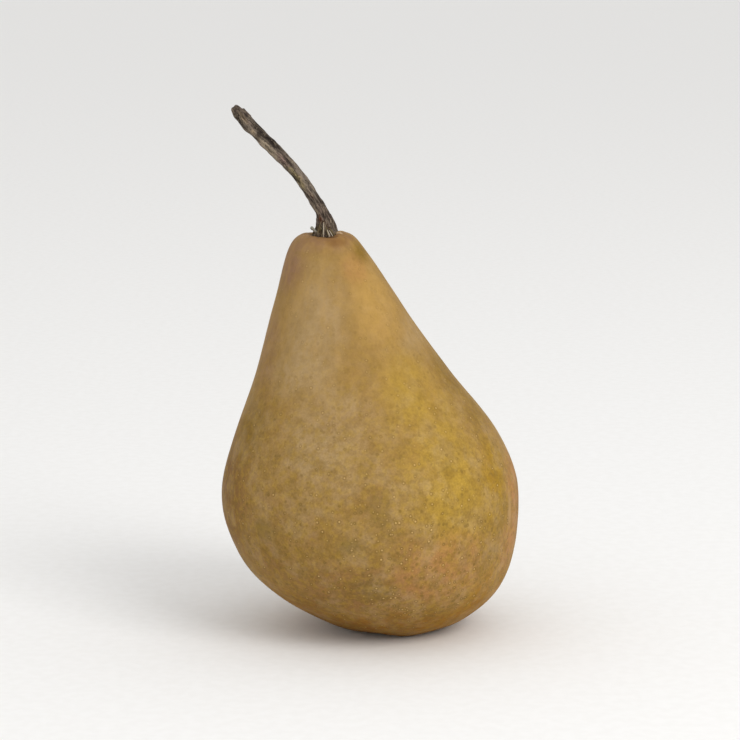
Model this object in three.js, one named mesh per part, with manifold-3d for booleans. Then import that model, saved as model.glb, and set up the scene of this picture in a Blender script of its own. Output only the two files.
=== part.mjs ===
// A ripe russet pear, standing upright on the lobes of its blossom end with its neck leaning to one side.
// Three pieces: the fruit, the woody stalk in its socket on top, and the calyx, the dried remains of the
// flower, in the basin underneath. Millimetres, +Z up, the neck leaning towards -X and the front facing -Y.
// The origin lies on the surface that the pear stands on, under the middle of the belly.
import * as THREE from "three";
import { mergeVertices } from "three/addons/utils/BufferGeometryUtils.js";
import Module from "manifold-3d";

const wasm = await Module();
wasm.setup();

const { degToRad, smoothstep } = THREE.MathUtils;
const FULL_TURN = 2 * Math.PI;
const WELD_DISTANCE = 1e-4;

// Fruit
const BELLY_RADIUS = 37.5;
const BELLY_HEIGHT = 33.5;
const SHOULDER_HEIGHT = 99.7;
const SHOULDER_TILT = 0.045; // the rise of the top towards +X
const NECK_X = -11.2; // the neck's axis where the stalk leaves it
const NECK_TOP = 95;
const FOOT_X = 6.6; // the middle of the ring of lobes that the pear stands on
const RING_RADIUS = 9.3;
const RING_SINK = 0.1; // how far the ring is pressed flat, lobes apart
const LOBE_COUNT = 5;
const LOBE_HEIGHT = 0.6;
const LOBE_REACH = 6; // how far from the ring a lobe dies out
const LOWEST_LOBE = degToRad(-78);
const RING_SLANT = 0.2; // the ring lies this much lower on its heavy side
const HEAVY_SIDE = degToRad(66);
const FRUIT_SIDES = 64;
const FRUIT_RINGS = 44;

// Plain round sockets that the stalk and the calyx are rooted in
const SOCKET_RADIUS = 2.6;
const ROOT_CLEARANCE = 0.3;
const ROOT_RADIUS = SOCKET_RADIUS - ROOT_CLEARANCE;
const STALK_SOCKET_FLOOR = 94;
const CALYX_SOCKET_MOUTH = 5.6;
const CALYX_SOCKET_ROOF = 8.6;

// Stalk
const ROOT_LENGTH = 5;
const FLARE_RADIUS = 3.2; // the ribbed foot that sits on the flesh
const WAIST_RADIUS = 1.3;
const KNOB_RADIUS = 1.95; // the thicker end that broke from the spur
const BREAK_DEPTH = 2.6; // the stretch below the end that the torn wood shapes
const BREAK_PEAK = -0.35; // how far right of the axis the torn wood stands highest
const SPLIT_OFFSET = 0.57; // how far right of the axis the wood is split
const STALK_SIDES = 20;
const STALK_RINGS = 46;
const PEG_RADIUS = 0.34;
const PEG_LENGTH = 2.6;
const PEG_LEAN = degToRad(52);

// Calyx
const CUP_HEIGHT = 4.5; // the lower edge of the calyx tube, where the sepals leave it
const CUP_WALL = 0.9;
const CUP_DEPTH = 1.5;
const CUP_SIDES = 20;
const SEPAL_COUNT = 5;
const SEPAL_LENGTH = 5.4;
const SEPAL_WIDTH = 2.6;
const SEPAL_THICKNESS = 0.6;
const SEPAL_STEPS = 8;
const SEPAL_CURL = 0.7; // radians from the root to the tip
const SEPAL_TROUGH = 0.12; // the curve across a blade, per millimetre
const STAMEN_COUNT = 7;
const STAMEN_LENGTH = 2.2;
const STAMEN_RADIUS = 0.22;
const STAMEN_CIRCLE = 0.95;

// Horizontal sections of the skin, from the stalk's socket down to the calyx's:
// the radius, the height, and the x of the middle.
const SKIN_SECTIONS = [
  [SOCKET_RADIUS, SHOULDER_HEIGHT - 0.8, NECK_X],
  [3.5, SHOULDER_HEIGHT - 0.1, NECK_X],
  [5.5, SHOULDER_HEIGHT, NECK_X],
  [7.4, 98.9, -11.3],
  [9.6, 95.8, -10.8],
  [12, 91.2, -9.8],
  [14.7, 85.2, -8.6],
  [19, 76.1, -6.8],
  [25, 64, -3.9],
  [32.2, 51.8, -1],
  [36.8, 40, 0],
  [BELLY_RADIUS, BELLY_HEIGHT, 0.1],
  [36.8, 26, 0.6],
  [33.5, 16, 2.2],
  [28.1, 9.2, 4],
  [20.5, 3.8, 5.5],
  [14, 0.8, 6.4],
  [RING_RADIUS, -RING_SINK, FOOT_X],
  [6.6, 1.3, FOOT_X],
  [4.9, 3.9, FOOT_X],
  [SOCKET_RADIUS + 0.4, CALYX_SOCKET_MOUTH - 0.2, FOOT_X],
  [SOCKET_RADIUS, CALYX_SOCKET_MOUTH, FOOT_X],
];

// The stalk's axis, from the floor of its socket to the broken end.
const STALK_PATH = [
  [NECK_X, 0, STALK_SOCKET_FLOOR + ROOT_CLEARANCE],
  [NECK_X, 0, 97.4],
  [-11.3, 0, 100.8],
  [-11.4, 0.1, 103.3],
  [-12.4, 0.2, 106.3],
  [-16.1, 0.6, 112],
  [-21, 1.1, 117.9],
  [-26.7, 1.6, 123.8],
  [-29.7, 1.8, 127.3],
  [-32.8, 2.1, 131.6],
];

// The stalk's radius against the distance along its axis, from the top of the root.
const STALK_OUTLINE = [
  [ROOT_RADIUS, 0],
  [FLARE_RADIUS, 0.8],
  [3, 1.6],
  [2.55, 2.9],
  [2.15, 4],
  [1.75, 5],
  [1.55, 6.5],
  [1.4, 8.5],
  [1.4, 13],
  [WAIST_RADIUS, 18],
  [1.48, 22],
  [1.55, 27],
  [1.8, 32],
  [KNOB_RADIUS, 36],
  [KNOB_RADIUS, 38],
  [1.85, 39],
];

// Knots of old buds on the stalk: the distance above the root, the angle round the axis and the height.
const KNOTS = [
  { along: 8.5, angle: degToRad(200), height: 0.3 },
  { along: 14, angle: degToRad(60), height: 0.22 },
  { along: 23.5, angle: degToRad(150), height: 0.25 },
  { along: 33, angle: degToRad(20), height: 0.3 },
];
const KNOT_LENGTH = 1.3;
const KNOT_SPREAD = 0.5; // radians

function skinMaterial() {
  return new THREE.MeshStandardMaterial({ color: 0xa88648, roughness: 0.5, metalness: 0 });
}

function stalkMaterial() {
  return new THREE.MeshStandardMaterial({ color: 0x5d4f40, roughness: 0.85, metalness: 0 });
}

function calyxMaterial() {
  return new THREE.MeshStandardMaterial({ color: 0x3f2e20, roughness: 0.9, metalness: 0 });
}

// A closed solid from a geometry, with its vertices joined by place alone.
function toSolid(geometry) {
  const bare = geometry.clone();
  bare.deleteAttribute("normal");
  bare.deleteAttribute("uv");
  const merged = mergeVertices(bare, WELD_DISTANCE);
  const mesh = new wasm.Mesh({
    numProp: 3,
    vertProperties: merged.attributes.position.array,
    triVerts: new Uint32Array(merged.index.array),
  });
  return new wasm.Manifold(mesh);
}

// A geometry with flat faces from a closed solid.
function toGeometry(solid) {
  const mesh = solid.getMesh();
  const geometry = new THREE.BufferGeometry();
  geometry.setAttribute("position", new THREE.BufferAttribute(mesh.vertProperties, 3));
  geometry.setIndex(new THREE.BufferAttribute(mesh.triVerts, 1));
  const faceted = geometry.toNonIndexed();
  faceted.computeVertexNormals();
  return faceted;
}

// Hands every vertex of a geometry, with its number, to a function that moves it.
function reshape(geometry, move) {
  const position = geometry.attributes.position;
  const vertex = new THREE.Vector3();
  for (let index = 0; index < position.count; index += 1) {
    vertex.fromBufferAttribute(position, index);
    move(vertex, index);
    position.setXYZ(index, vertex.x, vertex.y, vertex.z);
  }
  return geometry;
}

// A bell curve: 1 at no distance, dying out past the reach.
function bell(distance, reach) {
  return Math.exp(-((distance / reach) ** 2));
}

// Swelling of the fruit away from round, as a distance. It vanishes at the left and right sides of the
// front view, which the skin sections describe, and near both ends.
function fruitSwelling(angle, height) {
  const share = height / SHOULDER_HEIGHT;
  const halves = 0.6 * Math.sin(2 * angle) * Math.sin(3.1 * share + 0.4);
  const thirds = 0.35 * Math.sin(3 * angle) * Math.cos(5.3 * share);
  const fifths = 0.2 * Math.sin(5 * angle) * Math.sin(7.7 * share + 1);
  return Math.sin(Math.PI * THREE.MathUtils.clamp(share, 0, 1)) * (halves + thirds + fifths);
}

// How much lower than its section the skin lies under the blossom end, which has five lobes.
function lobeDrop(angle, radius) {
  const lobes = LOBE_HEIGHT * Math.cos(LOBE_COUNT * (angle - LOWEST_LOBE));
  const slant = RING_SLANT * Math.cos(angle - HEAVY_SIDE);
  return bell(radius - RING_RADIUS, LOBE_REACH) * (lobes + slant);
}

// The skin and both sockets as one closed profile turned round the axis, each ring then moved to the
// middle of its section and swollen out of round. The surface that the pear stands on cuts it flat.
function fruitGeometry() {
  const curve = new THREE.CatmullRomCurve3(
    SKIN_SECTIONS.map((section) => new THREE.Vector3(...section)),
    false,
    "centripetal",
  );
  const sections = [
    new THREE.Vector3(0, STALK_SOCKET_FLOOR, NECK_X),
    new THREE.Vector3(SOCKET_RADIUS, STALK_SOCKET_FLOOR, NECK_X),
    ...curve.getPoints(FRUIT_RINGS),
    new THREE.Vector3(SOCKET_RADIUS, CALYX_SOCKET_ROOF, FOOT_X),
    new THREE.Vector3(0, CALYX_SOCKET_ROOF, FOOT_X),
  ].reverse();
  const profile = sections.map((section) => new THREE.Vector2(section.x, section.y));
  const lathe = new THREE.LatheGeometry(profile, FRUIT_SIDES);
  lathe.rotateX(Math.PI / 2);
  return reshape(lathe, (vertex, index) => {
    const { x: radius, y: height, z: middle } = sections[index % sections.length];
    if (radius > SOCKET_RADIUS) {
      const angle = Math.atan2(vertex.y, vertex.x);
      const widening = 1 + fruitSwelling(angle, height) / radius;
      vertex.x *= widening;
      vertex.y *= widening;
      if (height < BELLY_HEIGHT) {
        vertex.z = Math.max(0, vertex.z - lobeDrop(angle, radius));
      }
      vertex.z += SHOULDER_TILT * vertex.x * smoothstep(height, NECK_TOP, SHOULDER_HEIGHT);
    }
    vertex.x += middle;
  });
}

// The smaller of the two angles between two directions round the stalk.
function angleBetween(first, second) {
  return Math.abs(Math.atan2(Math.sin(first - second), Math.cos(first - second)));
}

// How far the stalk's bark stands out of its outline: five slowly twisting ribs, a waver, sharper ribs on
// the flared foot, and the knots. The root in the socket stays plain.
function barkRelief(angle, along, radius) {
  const ribs = 0.07 * Math.cos(5 * angle + 0.09 * along) + 0.04 * Math.cos(7 * angle - 0.13 * along + 1);
  const waver = 0.05 * Math.sin(0.75 * along + 2 * angle) + 0.04 * Math.sin(1.7 * along - angle);
  const footRibs = 0.1 * Math.cos(9 * angle + 0.4) * (1 - smoothstep(along, 3, 8));
  let height = radius * (ribs + waver + footRibs);
  for (const knot of KNOTS) {
    const lengthwise = bell(along - knot.along, KNOT_LENGTH);
    const sideways = bell(angleBetween(angle, knot.angle), KNOT_SPREAD);
    height += knot.height * lengthwise * sideways;
  }
  return smoothstep(along, 0, 2) * height;
}

// How far the torn wood at the broken end stands above the end of the axis: a ridge that falls away to both
// sides, more to the right, with a split beside it.
function breakRelief(right, near) {
  const fall = right < BREAK_PEAK ? 0.3 : 0.45;
  const split = 0.8 * bell(right - SPLIT_OFFSET, 0.35);
  return 0.35 - fall * (right - BREAK_PEAK) ** 2 - split + 0.15 * Math.sin(4 * near);
}

// A turned profile bent along the stalk's axis, its near side kept towards the front.
function stalkGeometry() {
  const path = new THREE.CatmullRomCurve3(STALK_PATH.map((point) => new THREE.Vector3(...point)));
  const length = path.getLength();
  const outline = new THREE.SplineCurve(
    STALK_OUTLINE.map(([radius, along]) => new THREE.Vector2(radius, ROOT_LENGTH + along)),
  );
  const profile = [
    new THREE.Vector2(0, 0),
    new THREE.Vector2(ROOT_RADIUS, 0),
    new THREE.Vector2(ROOT_RADIUS, ROOT_LENGTH / 2),
    ...outline.getPoints(STALK_RINGS),
    new THREE.Vector2(1.45, length - 0.35),
    new THREE.Vector2(0.8, length - 0.1),
    new THREE.Vector2(0, length),
  ];
  const depthwise = new THREE.Vector3(0, 1, 0);
  const lathe = new THREE.LatheGeometry(profile, STALK_SIDES);
  return reshape(lathe, (vertex, index) => {
    const { x: radius, y: along } = profile[index % profile.length];
    const angle = Math.atan2(vertex.z, vertex.x);
    const relief = radius > 0 ? 1 + barkRelief(angle, along - ROOT_LENGTH, radius) / radius : 1;
    const right = vertex.x * relief;
    const near = vertex.z * relief;
    const torn = smoothstep(along, length - BREAK_DEPTH, length - 0.6);
    const reach = along + torn * breakRelief(right, near);
    const share = THREE.MathUtils.clamp(reach / length, 0, 1);
    const tangent = path.getTangentAt(share);
    const rightwards = new THREE.Vector3().crossVectors(depthwise, tangent).normalize();
    const nearwards = new THREE.Vector3().crossVectors(rightwards, tangent);
    vertex.copy(path.getPointAt(share));
    vertex.addScaledVector(rightwards, right);
    vertex.addScaledVector(nearwards, near);
    vertex.addScaledVector(tangent, Math.max(0, reach - length));
  });
}

// The stub of a dried bract that stands out of the stalk's foot, on the side that the neck leans to.
function bractPeg() {
  const peg = new THREE.CylinderGeometry(PEG_RADIUS, PEG_RADIUS * 0.8, PEG_LENGTH, 8);
  peg.rotateX(Math.PI / 2);
  peg.rotateY(-PEG_LEAN);
  peg.translate(NECK_X - FLARE_RADIUS * 0.8, -0.5, SHOULDER_HEIGHT + 1);
  return peg;
}

function stalkSolid() {
  return toSolid(stalkGeometry()).add(toSolid(bractPeg()));
}

// The calyx tube: a root in the socket, hollowed below into a shallow cup.
function cupGeometry() {
  const top = CALYX_SOCKET_ROOF - ROOT_CLEARANCE;
  const profile = [
    new THREE.Vector2(0, CUP_HEIGHT + CUP_DEPTH),
    new THREE.Vector2(ROOT_RADIUS - CUP_WALL, CUP_HEIGHT + CUP_DEPTH * 0.8),
    new THREE.Vector2(ROOT_RADIUS - CUP_WALL, CUP_HEIGHT - 0.3),
    new THREE.Vector2(ROOT_RADIUS - 0.1, CUP_HEIGHT - 0.2),
    new THREE.Vector2(ROOT_RADIUS, CUP_HEIGHT + 0.3),
    new THREE.Vector2(ROOT_RADIUS, top),
    new THREE.Vector2(0, top),
  ];
  const cup = new THREE.LatheGeometry(profile, CUP_SIDES);
  return cup.rotateX(Math.PI / 2);
}

// The outline of a sepal laid flat: widest near the middle, tapering to a point.
function sepalOutline() {
  const rightEdge = [];
  for (let step = 0; step < SEPAL_STEPS; step += 1) {
    const share = step / SEPAL_STEPS;
    const halfWidth = (SEPAL_WIDTH / 2) * (1 - share) ** 0.7 * (1 + 0.35 * Math.sin(Math.PI * share));
    rightEdge.push(new THREE.Vector2(share * SEPAL_LENGTH, -halfWidth));
  }
  const leftEdge = rightEdge.map((point) => new THREE.Vector2(point.x, -point.y)).reverse();
  return new THREE.Shape([...rightEdge, new THREE.Vector2(SEPAL_LENGTH, 0), ...leftEdge]);
}

// One dried sepal, a blade that leaves the calyx tube and curls down along the basin.
function sepalGeometry(curl) {
  const blade = new THREE.ExtrudeGeometry(sepalOutline(), {
    depth: SEPAL_THICKNESS,
    bevelEnabled: false,
    steps: 1,
  });
  return reshape(blade, (vertex) => {
    const slope = (curl * vertex.x) / SEPAL_LENGTH;
    vertex.z += CUP_HEIGHT - SEPAL_TROUGH * vertex.y ** 2 - vertex.x * Math.sin(slope);
    vertex.x = ROOT_RADIUS - CUP_WALL + vertex.x * Math.cos(slope);
  });
}

// One withered stamen, standing down out of the cup and leaning outwards.
function stamenGeometry(lean) {
  const stamen = new THREE.CylinderGeometry(STAMEN_RADIUS, STAMEN_RADIUS * 1.4, STAMEN_LENGTH, 6);
  stamen.rotateX(Math.PI / 2);
  stamen.rotateY(lean);
  return stamen.translate(STAMEN_CIRCLE, 0, CUP_HEIGHT + CUP_DEPTH * 0.8 - STAMEN_LENGTH / 2 + 0.3);
}

function calyxSolid() {
  let calyx = toSolid(cupGeometry());
  for (let index = 0; index < SEPAL_COUNT; index += 1) {
    const turn = (index / SEPAL_COUNT) * FULL_TURN + 0.3 + 0.12 * Math.sin(5 * index);
    const sepal = sepalGeometry(SEPAL_CURL + 0.08 * Math.sin(3 * index));
    calyx = calyx.add(toSolid(sepal.rotateZ(turn)));
  }
  for (let index = 0; index < STAMEN_COUNT; index += 1) {
    const turn = (index / STAMEN_COUNT) * FULL_TURN + 0.2 * Math.sin(4 * index);
    const stamen = stamenGeometry(-0.25 - 0.12 * Math.sin(7 * index));
    calyx = calyx.add(toSolid(stamen.rotateZ(turn)));
  }
  return calyx.translate([FOOT_X, 0, 0]);
}

function namedMesh(name, solid, material) {
  const mesh = new THREE.Mesh(toGeometry(solid), material);
  mesh.name = name;
  return mesh;
}

const pear = new THREE.Group();
pear.name = "pear";
pear.add(namedMesh("fruit", toSolid(fruitGeometry()), skinMaterial()));
pear.add(namedMesh("stalk", stalkSolid(), stalkMaterial()));
pear.add(namedMesh("calyx", calyxSolid(), calyxMaterial()));

export default pear;
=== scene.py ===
"""A ripe russet pear on a pale studio floor: the fruit, its woody stalk and the dried calyx underneath.

Sizes are in millimetres unless a name says otherwise, and MM turns them into Blender's metres. +X is to the
right as the camera sees it, -Y is towards the camera and +Z is up.
"""
import logging
import math
from collections.abc import Callable, Iterator, Sequence
from contextlib import contextmanager
from dataclasses import dataclass, field
from enum import Enum
from functools import cache

import bpy
from mathutils import Matrix, Vector, noise


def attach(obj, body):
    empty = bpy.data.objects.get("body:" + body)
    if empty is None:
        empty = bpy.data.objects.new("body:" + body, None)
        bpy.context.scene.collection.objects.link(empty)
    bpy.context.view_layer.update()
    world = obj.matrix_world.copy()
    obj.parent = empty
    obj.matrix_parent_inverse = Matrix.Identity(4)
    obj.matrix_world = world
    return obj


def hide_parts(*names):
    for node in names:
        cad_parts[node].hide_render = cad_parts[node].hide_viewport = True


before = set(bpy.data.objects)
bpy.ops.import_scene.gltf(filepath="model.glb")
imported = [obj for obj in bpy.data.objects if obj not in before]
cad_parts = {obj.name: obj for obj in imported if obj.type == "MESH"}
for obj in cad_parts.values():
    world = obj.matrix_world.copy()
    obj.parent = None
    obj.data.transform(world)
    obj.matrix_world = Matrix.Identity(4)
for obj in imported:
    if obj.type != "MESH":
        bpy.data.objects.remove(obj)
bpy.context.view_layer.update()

MM = 0.001
WELD = 1e-6  # metres
FULL_TURN = 2 * math.pi
QUARTER_TURN = math.pi / 2
STRAIGHT = "straight"  # the attribute that holds where a bent piece's points were before it was bent
RELIEF = "relief"  # the attribute that holds how far a point was raised, in millimetres

Place = tuple[float, float, float]
Piece = bpy.types.Object
Material = bpy.types.Material
Tree = bpy.types.NodeTree
ShaderNode = bpy.types.Node
Socket = bpy.types.NodeSocket
Relief = Callable[[Vector], float]

log = logging.getLogger("pear")


class Node(Enum):
    """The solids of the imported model."""

    FRUIT = "fruit"
    STALK = "stalk"
    CALYX = "calyx"


class Slot(Enum):
    """The record's material slots."""

    SKIN = "skin"
    STALK_WOOD = "stalk_wood"
    DRIED_CALYX = "dried_calyx"


class Tone(Enum):
    """Colours of the pear and the studio, as sRGB hex."""

    RUSSET = "987845"
    GOLD = "af8d37"
    WARM_GOLD = "b28d4f"
    BEIGE = "a98f68"
    OLIVE = "7f622a"
    OLIVE_YELLOW = "9e7a21"
    OLIVE_GREY = "6f5f38"
    # painted shade: a chestnut brown laid where the skin is shaded
    CHESTNUT = "724c22"
    ROSE = "8d6b54"
    ROSY_TAN = "ae7a4c"
    PINK_RUSSET = "87603d"
    # partly painted shade: the skin's own orange-brown, darkened for the underside
    ORANGE_BROWN = "8f5b0c"
    AMBER = "a26e0c"
    LENTICEL = "cda86e"
    LENTICEL_RIM = "6b5528"
    # the pale of the bark flake, and a painted highlight streak on the right limb
    SCAR = "b8976b"
    # painted shade in crevices, under the stalk's foot and in the basin; also the dark of the foot fibres'
    # streaks
    CREVICE = "3b2412"
    BARK = "74685c"
    BARK_PALE = "a0917b"
    BARK_BROWN = "54443a"
    BARK_DARK = "221b17"
    BARK_PINK = "8a7068"
    BARK_YELLOW = "93845a"
    BARK_RED = "4c2f28"
    FOOT_OLIVE = "5b4d2c"
    FOOT_ORANGE = "7a4420"
    SPLIT_WOOD = "a18c72"
    FIBRE_PALE = "a99d88"
    STUB_GREY = "7d8278"
    CALYX_BROWN = "4f3a28"
    CALYX_DARK = "241910"
    CALYX_PALE = "8a7354"
    PAPER = "efeeec"
    WHITE = "ffffff"

    @property
    def rgba(self) -> tuple[float, float, float, float]:
        """The tone as linear colour.

        Returns:
            Red, green, blue and full alpha.
        """
        shares = [int(self.value[index:index + 2], 16) / 255 for index in (0, 2, 4)]
        red, green, blue = [
            share / 12.92 if share <= 0.04045 else ((share + 0.055) / 1.055) ** 2.4 for share in shares
        ]
        return (red, green, blue, 1.0)


# Modelling tools


def select_only(piece: Piece) -> None:
    """Leaves one object selected and active.

    Args:
        piece: The object.
    """
    bpy.ops.object.select_all(action="DESELECT")
    piece.select_set(True)
    bpy.context.view_layer.objects.active = piece


@contextmanager
def editing(piece: Piece) -> Iterator[None]:
    """Holds a piece in edit mode with its whole mesh selected.

    Args:
        piece: The object to edit.
    """
    select_only(piece)
    bpy.ops.object.mode_set(mode="EDIT")
    bpy.ops.mesh.select_all(action="SELECT")
    yield
    bpy.ops.object.mode_set(mode="OBJECT")


def apply_modifier(piece: Piece, kind: str, **settings: object) -> None:
    """Adds one modifier to a piece and applies it.

    Args:
        piece: The object.
        kind: The modifier's type.
        **settings: Its properties.
    """
    modifier = piece.modifiers.new(kind.title(), kind)
    for name, value in settings.items():
        setattr(modifier, name, value)
    select_only(piece)
    bpy.ops.object.modifier_apply(modifier=modifier.name)


def subdivide_smoothly(piece: Piece, levels: int) -> None:
    """Applies a subdivision surface."""
    apply_modifier(piece, "SUBSURF", levels=levels, render_levels=levels)


def raise_relief(piece: Piece, relief: Relief, strength: float, direction: str = "NORMAL") -> None:
    """Displaces a mesh by a height that varies from place to place.

    Args:
        piece: The object.
        relief: Gives a share from 0 to 1 for a place in millimetres.
        strength: The distance that a share of 1 moves the surface.
        direction: The displacement's direction, along the normals or along an axis.
    """
    shares = [min(max(relief(vertex.co / MM), 0.0), 1.0) for vertex in piece.data.vertices]
    group = piece.vertex_groups.new(name="raised")
    for index, share in enumerate(shares):
        group.add([index], share, "REPLACE")
    apply_modifier(
        piece, "DISPLACE", strength=strength * MM, mid_level=0.0, direction=direction, vertex_group=group.name
    )
    piece.vertex_groups.clear()
    if direction == "NORMAL":
        heights = piece.data.attributes.get(RELIEF) or piece.data.attributes.new(RELIEF, "FLOAT", "POINT")
        for height, share in zip(heights.data, shares):
            height.value += strength * share


def turn_rod(name: str, sides: int, outline: Sequence[tuple[float, float]]) -> Piece:
    """Extrudes a closed rod of round sections along +Z.

    Args:
        name: The new piece's name.
        sides: The number of sides of each section.
        outline: The radius and the height of each section, from the bottom up.

    Returns:
        The rod, with its axis on the Z axis.
    """
    radius, height = outline[0]
    bpy.ops.object.select_all(action="DESELECT")
    bpy.ops.mesh.primitive_circle_add(vertices=sides, radius=radius * MM, fill_type="NGON")
    rod = bpy.context.active_object
    rod.name = name
    rod.data.transform(Matrix.Translation((0, 0, height * MM)))
    with editing(rod):
        for next_radius, next_height in outline[1:]:
            rise = (0, 0, (next_height - height) * MM)
            widening = next_radius / radius
            bpy.ops.mesh.extrude_region_move(TRANSFORM_OT_translate={"value": rise})
            bpy.ops.transform.resize(
                value=(widening, widening, 1), center_override=(0, 0, next_height * MM)
            )
            radius, height = next_radius, next_height
        bpy.ops.mesh.select_all(action="SELECT")
        bpy.ops.mesh.normals_make_consistent(inside=False)
    return rod


def smooth_path(places: Sequence[Place | Vector], steps: int = 12) -> list[Vector]:
    """Points on a smooth curve through a few places.

    Args:
        places: The places, in order.
        steps: The number of points from one place to the next.

    Returns:
        The points, both ends included.
    """
    knots = [Vector(place) for place in places]
    knots = [2 * knots[0] - knots[1], *knots, 2 * knots[-1] - knots[-2]]
    points = []
    for before, start, end, after in zip(knots, knots[1:], knots[2:], knots[3:]):
        for step in range(steps):
            share = step / steps
            points.append(
                start
                + 0.5 * share * (end - before)
                + share**2 * (before - 2.5 * start + 2 * end - 0.5 * after)
                + share**3 * (1.5 * (start - end) + 0.5 * (after - before))
            )
    return [*points, knots[-2]]


def bend_along(piece: Piece, places: Sequence[Place | Vector], axis: str = "POS_Z") -> None:
    """Bends a straight piece along a smooth path, and keeps its straight places in an attribute.

    Args:
        piece: The straight object.
        places: Places that the path runs through, in millimetres.
        axis: The straight piece's lengthwise axis.
    """
    straight = piece.data.attributes.new(STRAIGHT, "FLOAT_VECTOR", "POINT")
    straight.data.foreach_set("vector", [value / MM for vertex in piece.data.vertices for value in vertex.co])
    points = smooth_path(places)
    curve = bpy.data.curves.new("path", "CURVE")
    curve.dimensions = "3D"
    curve.twist_mode = "MINIMUM"
    spline = curve.splines.new("POLY")
    spline.points.add(len(points) - 1)
    for knot, point in zip(spline.points, points):
        knot.co = (*(point * MM), 1.0)
        knot.tilt = -QUARTER_TURN if axis == "POS_Z" else 0.0  # keeps a rod's right side to the right
    guide = bpy.data.objects.new("path", curve)
    bpy.context.scene.collection.objects.link(guide)
    apply_modifier(piece, "CURVE", object=guide, deform_axis=axis)
    bpy.data.objects.remove(guide)
    bpy.data.curves.remove(curve)


def copy_piece(piece: Piece, name: str) -> Piece:
    """Copies a piece with its own mesh.

    Args:
        piece: The object to copy.
        name: The copy's name.

    Returns:
        The copy.
    """
    copy = bpy.data.objects.new(name, piece.data.copy())
    bpy.context.scene.collection.objects.link(copy)
    return copy


def join(pieces: Sequence[Piece], name: str) -> Piece:
    """Joins pieces into one object.

    Args:
        pieces: The objects, at least one.
        name: The joined object's name.

    Returns:
        The joined object.
    """
    select_only(pieces[0])
    for piece in pieces[1:]:
        piece.select_set(True)
    bpy.ops.object.join()
    pieces[0].name = name
    pieces[0].data.name = name
    return pieces[0]


def dress(piece: Piece, material: Material, node: Node) -> None:
    """Gives a finished piece its material and enters it in the frame.

    Args:
        piece: The finished object.
        material: Its material.
        node: The solid that it stands for.
    """
    piece.data.materials.clear()
    piece.data.materials.append(material)
    select_only(piece)
    bpy.ops.object.shade_smooth()
    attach(piece, "root")
    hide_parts(node.value)


# Heights that vary from place to place


def ease(value: float, low: float, high: float) -> float:
    """Rises smoothly from 0 to 1 as the value goes from low to high."""
    share = min(max((value - low) / (high - low), 0.0), 1.0)
    return share * share * (3 - 2 * share)


def bell(distance: float, reach: float) -> float:
    """A bell curve: 1 at no distance, dying out past the reach."""
    return math.exp(-((distance / reach) ** 2))


def ripple(place: Vector, size: float, seed: float = 0.0) -> float:
    """Smooth noise from 0 to 1, with swellings of a size in millimetres and a seed of its own."""
    return 0.5 + 0.5 * noise.noise(place / size + Vector((seed, 1.7 * seed, -seed)))


def blend_points(points: Sequence[tuple[float, float]], value: float) -> float:
    """Reads a line through points, level past both ends.

    Args:
        points: Each point's value and result, the lowest value first.
        value: The value to read at.

    Returns:
        The result there.
    """
    for (low, start), (high, end) in zip(points, points[1:]):
        if value <= high:
            return start + (end - start) * max(value - low, 0.0) / (high - low)
    return points[-1][1]


def turn_between(first: float, second: float) -> float:
    """The smaller of the two angles between two directions."""
    return abs(math.atan2(math.sin(first - second), math.cos(first - second)))


def heading(angle: float) -> Vector:
    """The level direction at an angle from +X."""
    return Vector((math.cos(angle), math.sin(angle), 0))


def round_upright(place: Vector, line_x: float) -> tuple[float, float]:
    """A place's distance and direction from an upright line at y = 0."""
    across = Vector((place.x - line_x, place.y))
    return across.length, math.atan2(across.y, across.x)


# Shader tools


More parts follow.
